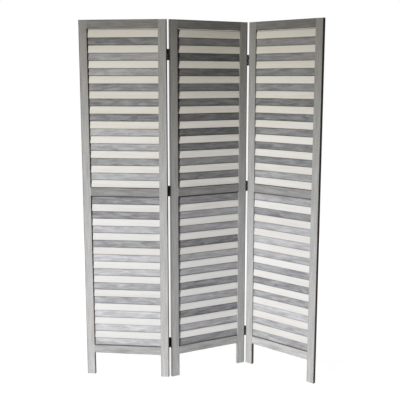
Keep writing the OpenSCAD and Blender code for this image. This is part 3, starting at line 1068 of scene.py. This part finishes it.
@dataclass
class HingeRow:
    """The three butt hinges of one fold, with the screws in their leaves."""

    fold: Fold
    seed: int

    def dress_hinges(self) -> None:
        """Gives the leaves and pins their black enamel."""
        black = shared_material(BLACK_ENAMELLED_STEEL)
        for height in ("bottom", "middle", "top"):
            for part in ("left_leaf", "right_leaf", "pin"):
                dress(f"{self.fold.value}_fold_{height}_hinge_{part}", black)

    def build_screws(self, screws: WoodScrews, panels: dict[str, LouvrePanel]) -> None:
        """Makes the screws that hold the leaves to the panels on both sides.

        Args:
            screws: the maker of screws.
            panels: the panels by name.
        """
        bronze = shared_material(BRONZED_STEEL)
        for side, body, way in zip(("left", "right"), FOLD_PANELS[self.fold], (-1, 1)):
            turn = panels[body].place.turn
            into = Vector((math.cos(turn), math.sin(turn), 0.0)) * way
            screws.build(f"{self.fold.value}_fold_{side}_screws", body, into, bronze,
                         self.seed + way)


@cache
def shared_material(finish: HardFinish) -> Material:
    """Builds a finish once and hands out the same material afterwards."""
    return finish.material()


def dress(node: str, material: Material) -> None:
    """Assigns a material to every slot of a CAD node.

    Args:
        node: the node's name.
        material: the finish that it gets.
    """
    slots = frame["nodes"][node].data.materials
    for i in range(len(slots)):
        slots[i] = material
    LOG.info("%s: %s", node, material.name)


@dataclass(frozen=True)
class Lamp:
    """A white lamp at a bearing round the screen, counted in degrees to the camera's left."""

    kind: ClassVar[str]
    name: str
    bearing: float
    reach: float
    height: float
    aim: float
    power: float

    def front(self) -> dict:
        """The settings of the light that give the lamp its front."""
        raise NotImplementedError

    def hang(self) -> None:
        """Hangs the lamp, facing the upright line through the screen's middle."""
        angle = math.radians(self.bearing)
        place = Vector((-math.sin(angle) * self.reach, -math.cos(angle) * self.reach,
                        self.height))
        light = bpy.data.lights.new(self.name, self.kind)
        for name, value in {**self.front(), "energy": self.power}.items():
            setattr(light, name, value)
        lamp = new_object(self.name, light)
        turn = (Vector((0.0, 0.0, self.aim)) - place).to_track_quat("-Z", "Y")
        lamp.matrix_world = Matrix.Translation(place) @ turn.to_matrix().to_4x4()
        lamp.visible_camera = False


@dataclass(frozen=True)
class SoftBox(Lamp):
    """A soft lamp with a rectangular front."""

    kind: ClassVar[str] = "AREA"
    size: Pair

    def front(self) -> dict:
        """A rectangle of the box's size."""
        return {"shape": "RECTANGLE", "size": self.size[0], "size_y": self.size[1]}


@dataclass(frozen=True)
class Spot(Lamp):
    """A round lamp that is brightest where it points and dims evenly to the side."""

    kind: ClassVar[str] = "SPOT"
    radius: float
    cone: float

    def front(self) -> dict:
        """A small disc and a cone that dims from its middle to its edge."""
        return {"shadow_soft_size": self.radius, "spot_size": math.radians(self.cone),
                "spot_blend": 1.0}


STUDIO_LAMPS = (
    Spot("key_spot", bearing=33.0, reach=4.0, height=2.15, aim=-0.1, power=755.0,
         radius=0.12, cone=68.0),
    *(SoftBox(f"back_{side}_softbox", bearing=bearing, reach=3.2, height=1.3, aim=0.8,
              power=60.0, size=(1.6, 1.6))
      for side, bearing in (("left", 150.0), ("right", -150.0))),
)


@dataclass
class Studio:
    """A plain white studio: a floor that shows white, dim surroundings and soft lamps.

    The floor's colour for bounced light is painted light near the middle and painted shade
    farther out, going from one value to the other between two distances from the middle; the
    fill's strength goes from the left to the right.
    """

    floor_reach: float = 12.0
    paper_distances: Pair = (0.5, 1.6)
    paper_light: Pair = (0.85, 0.08)
    shown_distances: Pair = (0.8, 1.8)
    shown_light: Pair = (0.95, 1.0)
    shadow_colour: str = "#5a5a5a"
    fill: Pair = (0.01, 0.005)
    lamps: tuple[Lamp, ...] = STUDIO_LAMPS

    def build_floor(self) -> None:
        """Lays a pale floor that shows white and keeps a faint shadow of the screen."""
        mesh = bpy.data.meshes.new("studio_floor")
        reach = self.floor_reach / 2
        mesh.from_pydata([(-reach, -reach, 0), (reach, -reach, 0), (reach, reach, 0),
                          (-reach, reach, 0)], [], [(0, 1, 2, 3)])
        floor = new_object("studio_floor", mesh)
        made = bpy.data.materials.new("white paper sweep")
        tree = empty_tree(made)
        away = add_node(tree, "ShaderNodeVectorMath", {0: place_on(tree)},
                        operation="LENGTH").outputs["Value"]
        # The paper's colour for bounced light: painted light near the middle, painted shade
        # farther out.
        paper = paint(tree, "BsdfDiffuse", {
            "Color": ramp(tree, away, *self.paper_distances, *self.paper_light)})
        faint = paint(tree, "BsdfDiffuse", {"Color": linear(self.shadow_colour)})
        white = paint(tree, "Emission", {
            "Strength": ramp(tree, away, *self.shown_distances, *self.shown_light)})
        shown = paint(tree, "AddShader", {0: faint, 1: white})
        mixed = paint(tree, "MixShader", {0: self.seen(tree), 1: paper, 2: shown})
        add_node(tree, "ShaderNodeOutputMaterial", {0: mixed})
        mesh.materials.append(made)

    def seen(self, tree: Tree) -> Socket:
        """1 where the camera, a gloss or a glass looks, and 0 for plain light."""
        path = add_node(tree, "ShaderNodeLightPath").outputs
        return calc(tree, "MAXIMUM", path["Is Transmission Ray"], calc(
            tree, "MAXIMUM", path["Is Camera Ray"], path["Is Glossy Ray"]))

    def build_world(self) -> None:
        """Makes the surroundings white to look at, and a dim fill that fades to the right."""
        world = bpy.data.worlds.new("studio_world")
        bpy.context.scene.world = world
        tree = empty_tree(world)
        way = parts(tree, add_node(tree, "ShaderNodeTexCoord").outputs["Generated"])
        fill = ramp(tree, way["X"], -1.0, 1.0, *self.fill)
        dim, white = (
            paint(tree, "Background", {"Color": linear("#ffffff"), "Strength": strength})
            for strength in (fill, 1.0))
        mixed = paint(tree, "MixShader", {0: self.seen(tree), 1: dim, 2: white})
        add_node(tree, "ShaderNodeOutputWorld", {0: mixed})

    def build(self) -> None:
        """Builds the floor, the surroundings and the lamps."""
        self.build_floor()
        self.build_world()
        for lamp in self.lamps:
            lamp.hang()
        bpy.context.scene.view_settings.view_transform = "Standard"


@dataclass
class PhotoCamera:
    """The camera of the photograph, found from the edges of the stiles."""

    place: tuple[float, float, float] = (-0.016481, -3.347095, 1.43183)
    pitch: float = math.radians(9.5901)
    yaw: float = math.radians(-0.3116)
    focal_pixels: float = 712.77

    def build(self) -> None:
        """Sets the camera up for a frame of 400 by 400 pixels."""
        data = bpy.data.cameras.new("photo_camera")
        data.sensor_width = SENSOR_MM
        data.lens = self.focal_pixels / FRAME_PIXELS * SENSOR_MM
        camera = new_object("photo_camera", data)
        camera.location = self.place
        camera.rotation_euler = (math.pi / 2 - self.pitch, 0.0, self.yaw)
        bpy.context.scene.camera = camera


def main() -> None:
    """Builds and dresses the screen, then the studio and the camera."""
    logging.basicConfig(level=logging.INFO, format="%(name)s: %(message)s")
    PhotoCamera().build()
    row = SlatRow()
    # Each panel's shades and top shading are partly painted light and shade.
    panels = (
        LouvrePanel("left_panel", seeds=(0, 59001, 73010, 63011),
                    rail_shades=(0.82, 0.66, 0.75), white_shade=0.92),
        LouvrePanel("middle_panel", seeds=(74100, 10101, 33110, 41111),
                    rail_shades=(0.84, 0.66, 0.68), stile_shade=0.93, white_shade=1.11,
                    grey_shade=0.84, grey_top_shading=0.52),
        LouvrePanel("right_panel", seeds=(62200, 44201, 40210, 67211),
                    rail_shades=(1.1, 0.78, 0.71), stile_shade=1.03, white_shade=1.02,
                    grey_shade=1.04, grey_top_shading=0.45, inner_shade_share=0.2))
    for panel in panels:
        panel.dress_frame()
        panel.build_slats(row)
    screws = WoodScrews()
    for hinges in (HingeRow(Fold.LEFT, seed=500), HingeRow(Fold.RIGHT, seed=510)):
        hinges.dress_hinges()
        hinges.build_screws(screws, {panel.name: panel for panel in panels})
    Studio().build()


if __name__ == "__main__":
    main()
